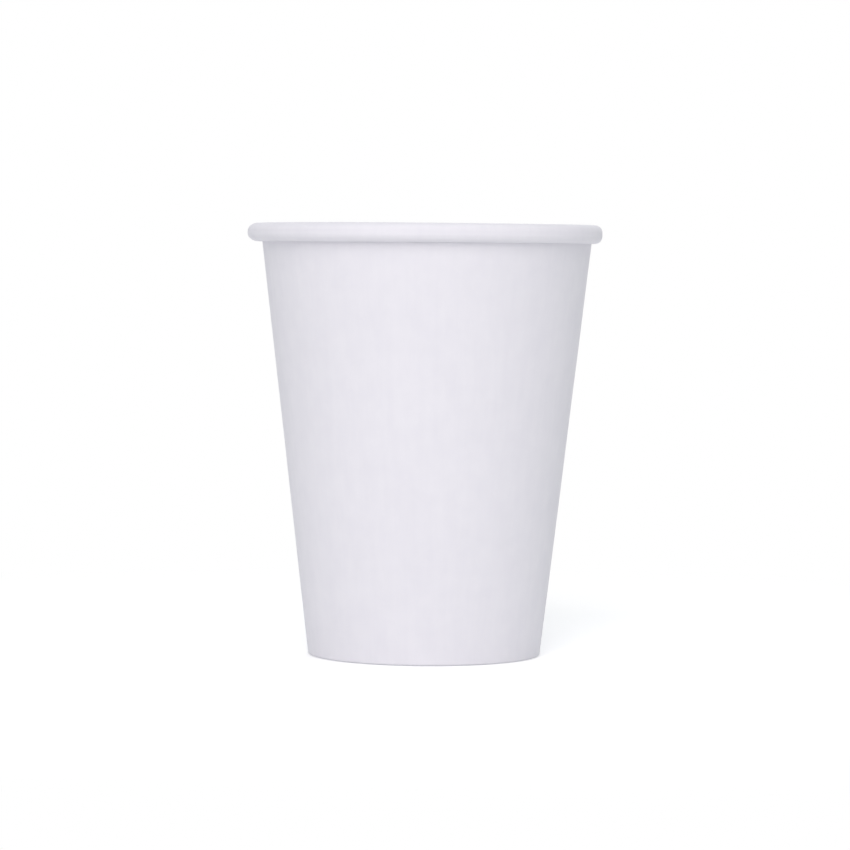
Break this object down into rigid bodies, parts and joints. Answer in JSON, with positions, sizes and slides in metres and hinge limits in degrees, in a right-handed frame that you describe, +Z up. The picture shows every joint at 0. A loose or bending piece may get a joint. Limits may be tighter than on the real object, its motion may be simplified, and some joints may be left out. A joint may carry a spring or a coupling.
{
  "type": "paper cold cup",
  "caption": "Tapered round paper cold cup with a rolled rim, a lapped side seam and a recessed bottom held in a hem.",
  "frame": {"origin": "centre of the foot, on the surface that the cup stands on", "axes": "+Z up along the cup's axis; +Y towards the side seam, which faces away from the front"},
  "size_m": [0.09, 0.09, 0.1095],
  "materials": {
    "sidewall_board": "smooth coated",
    "bottom_board": "smooth coated"
  },
  "bodies": {
    "root": {"sidewall": "sidewall_board", "bottom": "bottom_board"}
  },
  "joints": []
}
